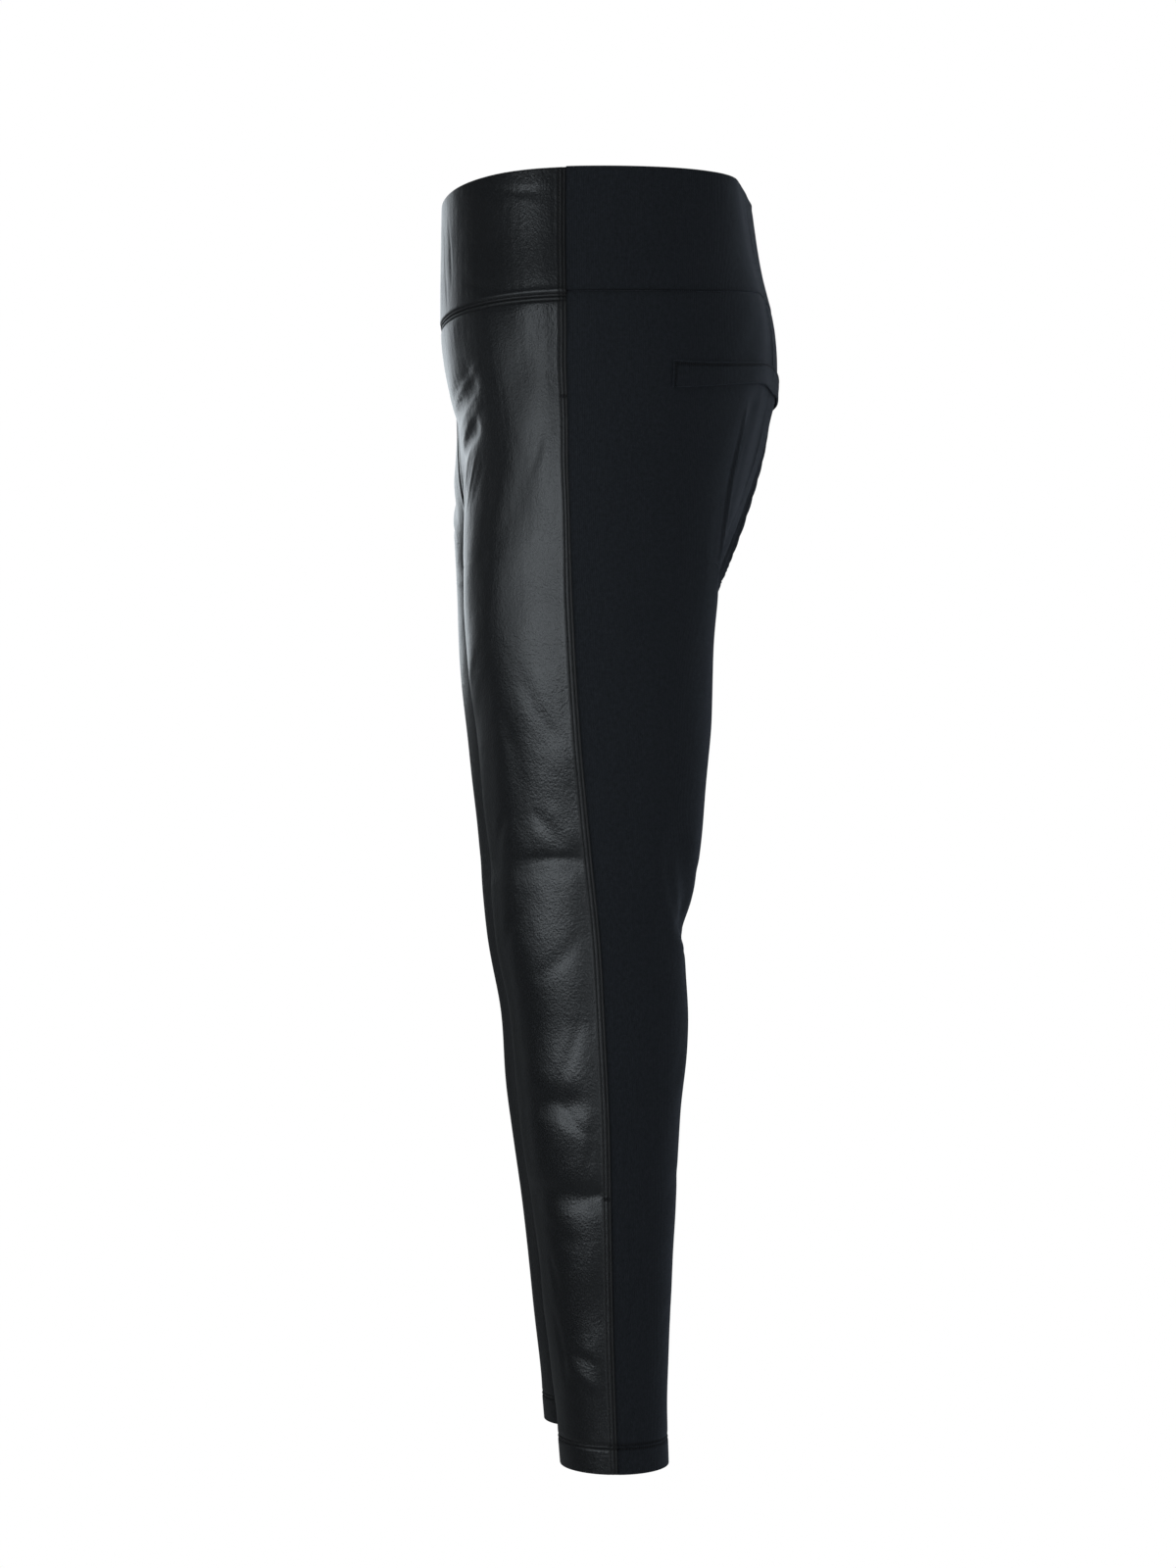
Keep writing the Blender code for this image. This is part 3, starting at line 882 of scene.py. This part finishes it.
def welt_rows(half):
    """Stitches along the welt's top edge and up its ends."""
    inset = WELT_ROW / WELT_HALF
    outer, inner, _ = welt_surface(half, np.linspace(0, 1 - inset, 160), WELT_LINES)
    lines = [stitch_line(posed(outer[1]), outer[1] - inner[1])]
    across = np.array([1 - 2 * inset, 1 - inset, 1])
    outer, inner, _ = welt_surface(half, across, np.linspace(0.1, 0.9, 20))
    lines.append(stitch_line(posed(outer[:, 1]), outer[:, 1] - inner[:, 1]))
    return lines


def hem_rows(edge, half):
    u = np.linspace(0, 1, 200)
    return [
        stitch_line(
            *lifted(edge, half, u, np.full_like(u, HEM_DOWN - row), panel_relief, 0), pitch=2.6 * MM
        )
        for row in HEM_LINES
    ]


# ---------------------------------------------------------------- looks


LEATHER_ROUGHNESS = 0.29


def look(name, colour, roughness, specular=0.5):
    made = bpy.data.materials.new(name)
    made.use_nodes = True
    nodes = made.node_tree.nodes
    shader = nodes["Principled BSDF"]
    shader.inputs["Base Color"].default_value = (*colour, 1)
    shader.inputs["Roughness"].default_value = roughness
    shader.inputs["Specular IOR Level"].default_value = specular
    return made, made.node_tree, shader


def add_node(tree, kind, **values):
    node = tree.nodes.new(kind)
    for name, value in values.items():
        if name in node.inputs:
            node.inputs[name].default_value = value
        else:
            setattr(node, name, value)
    return node


def cut_places(tree, *stretch):
    """The place on the cut, with each of its two directions stretched, as texture coordinates."""
    source = add_node(tree, "ShaderNodeAttribute", attribute_name="cut")
    mapping = add_node(tree, "ShaderNodeMapping", Scale=(*stretch, 0))
    tree.links.new(source.outputs["Vector"], mapping.inputs["Vector"])
    return mapping.outputs["Vector"]


def noise(tree, places, scale, detail=4.0, roughness=0.5):
    node = add_node(tree, "ShaderNodeTexNoise", Scale=scale, Detail=detail, Roughness=roughness)
    tree.links.new(places, node.inputs["Vector"])
    return node.outputs["Fac"]


def bumped(tree, shader, layers):
    """Chains bump layers of (height, depth in metres) into the shader's normal."""
    normal = None
    for height, depth in layers:
        node = add_node(tree, "ShaderNodeBump", Strength=1.0, Distance=depth)
        tree.links.new(height, node.inputs["Height"])
        if normal is not None:
            tree.links.new(normal, node.inputs["Normal"])
        normal = node.outputs["Normal"]
    tree.links.new(normal, shader.inputs["Normal"])


def tinted(tree, shader, factor, dark, light, sewn=0.05):
    """Mottles the colour, and darkens it with painted shade in the stitched grooves and sunk seams, where it
    keeps the share `sewn`.
    """
    ramp = add_node(tree, "ShaderNodeMix", data_type="RGBA")
    ramp.inputs[6].default_value = (*dark, 1)
    ramp.inputs[7].default_value = (*light, 1)
    tree.links.new(factor, ramp.inputs[0])
    shaded = add_node(tree, "ShaderNodeMix", data_type="RGBA")
    shaded.inputs[7].default_value = (*(value * sewn for value in dark), 1)
    tree.links.new(painted_seam_shade(tree), shaded.inputs[0])
    tree.links.new(ramp.outputs[2], shaded.inputs[6])
    tree.links.new(shaded.outputs[2], shader.inputs["Base Color"])


# The painted shade of stitched grooves and seams, read from the cut's third value: it darkens the colour and
# roughens the gloss.
def painted_seam_shade(tree):
    source = add_node(tree, "ShaderNodeAttribute", attribute_name="cut")
    parts = add_node(tree, "ShaderNodeSeparateXYZ")
    tree.links.new(source.outputs["Vector"], parts.inputs["Vector"])
    return parts.outputs["Z"]


def roughened(tree, shader, smooth, rough):
    """Makes the surface rougher where it is sewn, so that its gloss ends there."""
    span = add_node(tree, "ShaderNodeMapRange")
    span.inputs["To Min"].default_value = smooth
    span.inputs["To Max"].default_value = rough
    tree.links.new(painted_seam_shade(tree), span.inputs["Value"])
    tree.links.new(span.outputs["Result"], shader.inputs["Roughness"])


def leather_look():
    made, tree, shader = look("leather_look", (0.009, 0.0095, 0.0105), LEATHER_ROUGHNESS)
    places = cut_places(tree, 1, 1)
    pebbles = add_node(tree, "ShaderNodeTexVoronoi", Scale=650)
    tree.links.new(places, pebbles.inputs["Vector"])
    bumped(
        tree,
        shader,
        (
            (noise(tree, cut_places(tree, 1.6, 1), 60, detail=3, roughness=0.5), 0.36 * MM),
            (noise(tree, cut_places(tree, 1.4, 1), 400, detail=2, roughness=0.5), 0.16 * MM),
            (pebbles.outputs["Distance"], 0.08 * MM),
            (noise(tree, places, 900, detail=2), 0.06 * MM),
        ),
    )
    roughened(tree, shader, LEATHER_ROUGHNESS, 0.8)
    # mottled colour, darkened by painted shade in the stitched grooves and seams
    tinted(tree, shader, noise(tree, places, 45), (0.008, 0.0085, 0.0095), (0.010, 0.0105, 0.0115))
    return made


def double_knit():
    made, tree, shader = look("double_knit", (0.018, 0.0205, 0.024), 0.9, specular=0.2)
    shader.inputs["Sheen Weight"].default_value = 0.18
    shader.inputs["Sheen Roughness"].default_value = 0.4
    shader.inputs["Sheen Tint"].default_value = (0.75, 0.82, 1.0, 1)
    places = cut_places(tree, 1, 1)
    wales = add_node(
        tree, "ShaderNodeTexWave", Scale=180, Distortion=1.5, Detail=2.0, bands_direction="X"
    )
    tree.links.new(places, wales.inputs["Vector"])
    bumped(
        tree,
        shader,
        (
            (noise(tree, places, 60, detail=4), 0.5 * MM),
            (wales.outputs["Fac"], 0.15 * MM),
            (noise(tree, places, 1400, detail=2), 0.2 * MM),
        ),
    )
    mottle = noise(tree, places, 330, detail=3, roughness=0.8)
    # mottled colour, darkened by painted shade in the stitched grooves and seams
    tinted(tree, shader, mottle, (0.003, 0.004, 0.005), (0.026, 0.029, 0.035))
    return made


def knit_backing():
    made, tree, shader = look("knit_backing", (0.013, 0.013, 0.015), 0.95, specular=0.15)
    places = cut_places(tree, 1, 1)
    bumped(tree, shader, ((noise(tree, places, 900, detail=2), 0.2 * MM),))
    return made


def thread():
    made, tree, shader = look("thread", (0.009, 0.009, 0.010), 0.7, specular=0.3)
    return made


# ---------------------------------------------------------------- the garment


def dressed(piece, slot, *nodes):
    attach(piece, "root")
    if nodes:
        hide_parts(*nodes)
    return piece


def add_garment():
    leather, knit, backing, sewing = leather_look(), double_knit(), knit_backing(), thread()
    made = {}
    for half, side in ((LEFT, "left"), (RIGHT, "right")):
        front = add_panel(f"front_leg_{side}", "front", half, 2.4 * MM, 2.9 * MM, (leather, backing))
        made[front] = dressed(front, "leather_look", f"leg_front_{side}")
        back = add_panel(f"back_leg_{side}", "back", half, 2.8 * MM, 3.0 * MM, (knit, knit))
        made[back] = dressed(back, "double_knit", f"leg_back_{side}")
        lines = side_rows(half) + waist_rows(half) + tack_rows(half) + hem_rows("front", half)
        dressed(stitch_mesh(f"front_stitches_{side}", lines, sewing), "leather_look")
        lines = hem_rows("back", half) + welt_rows(half)
        dressed(stitch_mesh(f"back_stitches_{side}", lines, sewing), "double_knit")
    front = add_band("front_waistband", "front", 1.9 * MM, 1.8 * MM, (leather, leather))
    dressed(front, "leather_look", "waistband_front")
    back = add_band("back_waistband", "back", 2.6 * MM, 2.4 * MM, (knit, knit))
    dressed(back, "double_knit", "waistband_back")
    welt = add_welt("welt_flap", (knit, knit))
    dressed(welt, "double_knit", "pocket_welt")


# ---------------------------------------------------------------- the studio


FLOOR_Z = -1.5
LOOK_ACROSS = np.radians(8)  # the camera's direction from the garment, from +X towards +Y
CAMERA_AT = Vector((2.6943, 0.3732, -0.459))
FOCAL_PIXELS = 3525
PHOTO_HEIGHT = 1600
SENSOR = 36.0
LIGHT_COLOUR = (0.92, 1.0, 1.06)


def add_camera():
    data = bpy.data.cameras.new("camera")
    data.sensor_width = SENSOR
    data.lens = SENSOR * FOCAL_PIXELS / PHOTO_HEIGHT
    camera = bpy.data.objects.new("camera", data)
    camera.location = CAMERA_AT
    view = Vector((-np.cos(LOOK_ACROSS), -np.sin(LOOK_ACROSS), 0))
    camera.rotation_mode = "QUATERNION"
    camera.rotation_quaternion = view.to_track_quat("-Z", "Y")
    bpy.context.scene.collection.objects.link(camera)
    bpy.context.scene.camera = camera


# The lights: each stands at an angle from +X, in degrees, and faces the garment from its distance.
# A spread below 180 degrees is a grid in front of the light.
Lamp = namedtuple("Lamp", "name angle distance height width tall watts spread")
LAMPS = (
    Lamp("key", -42, 2.4, -0.1, 0.9, 1.2, 0.5, 44),
    Lamp("key_side", -20, 2.4, -0.1, 0.6, 1.2, 0.42, 60),
    Lamp("key_upper", -42, 2.4, 0.5, 0.6, 0.5, 0.5, 60),
    Lamp("key_lower", -28, 2.4, -0.7, 2.8, 0.5, 2.2, 80),
    Lamp("key_front", -65, 2.4, -0.1, 1.0, 1.2, 0.45, 60),
    Lamp("key_high", -42, 2.4, 1.05, 0.7, 0.5, 2.1, 120),
    Lamp("key_top", -44, 2.0, 2.2, 1.0, 0.8, 0.8, 180),
    Lamp("fill_near", 20, 2.4, -0.4, 1.0, 1.6, 7.3, 180),
    Lamp("fill_back", 68, 2.4, -0.4, 1.4, 1.6, 7.6, 180),
    Lamp("fill_front", -112, 2.4, -0.4, 0.9, 2.0, 0.6, 180),
    Lamp("fill_far", 135, 2.6, 1.2, 1.4, 1.0, 6, 180),
    Lamp("fill_right", 190, 2.4, 1.9, 1.6, 1.0, 14, 180),
    Lamp("sweep_front", -152, 2.6, 0.3, 2.2, 1.3, 2.4, 70),
    Lamp("sweep_back", 166, 2.6, 0.9, 2.0, 1.0, 1.4, 80),
)


def add_soft_light(lamp):
    data = bpy.data.lights.new(lamp.name, "AREA")
    data.shape = "RECTANGLE"
    data.size, data.size_y = lamp.width, lamp.tall
    data.energy = lamp.watts
    data.color = LIGHT_COLOUR
    data.spread = np.radians(lamp.spread)
    angle = np.radians(lamp.angle)
    towards = Vector((-np.cos(angle), -np.sin(angle), 0))
    soft = bpy.data.objects.new(lamp.name, data)
    soft.location = -towards * lamp.distance + Vector((0, 0, lamp.height))
    soft.rotation_mode = "QUATERNION"
    soft.rotation_quaternion = towards.to_track_quat("-Z", "Y")
    soft.visible_camera = False
    bpy.context.scene.collection.objects.link(soft)


def seen_white(tree, target, dim):
    """White where the camera looks straight at it, and dim as a light."""
    path = tree.nodes.new("ShaderNodeLightPath")
    mix = tree.nodes.new("ShaderNodeMixShader")
    white = tree.nodes.new("ShaderNodeBackground" if target.type == "OUTPUT_WORLD" else "ShaderNodeEmission")
    white.inputs["Color"].default_value = (1, 1, 1, 1)
    white.inputs["Strength"].default_value = 1.0
    tree.links.new(path.outputs["Is Camera Ray"], mix.inputs[0])
    tree.links.new(dim, mix.inputs[1])
    tree.links.new(white.outputs[0], mix.inputs[2])
    tree.links.new(mix.outputs[0], target.inputs["Surface"])


def add_world():
    world = bpy.data.worlds.new("studio")
    world.use_nodes = True
    tree = world.node_tree
    dim = tree.nodes["Background"]
    dim.inputs["Color"].default_value = (*LIGHT_COLOUR, 1)
    dim.inputs["Strength"].default_value = 0.06
    seen_white(tree, tree.nodes["World Output"], dim.outputs[0])
    bpy.context.scene.world = world


def add_floor():
    mesh = bpy.data.meshes.new("floor")
    reach = 8.0
    corners = [(-reach, -reach), (reach, -reach), (reach, reach), (-reach, reach)]
    mesh.from_pydata([(x, y, FLOOR_Z) for x, y in corners], [], [(0, 1, 2, 3)])
    made, tree, shader = look("pale_floor", (0.8, 0.8, 0.8), 0.9)
    output = tree.nodes["Material Output"]
    seen_white(tree, output, shader.outputs[0])
    mesh.materials.append(made)
    floor = bpy.data.objects.new("floor", mesh)
    bpy.context.scene.collection.objects.link(floor)


def add_studio():
    add_camera()
    add_world()
    add_floor()
    for lamp in LAMPS:
        add_soft_light(lamp)
    bpy.context.scene.view_settings.view_transform = "Standard"


add_garment()
add_studio()
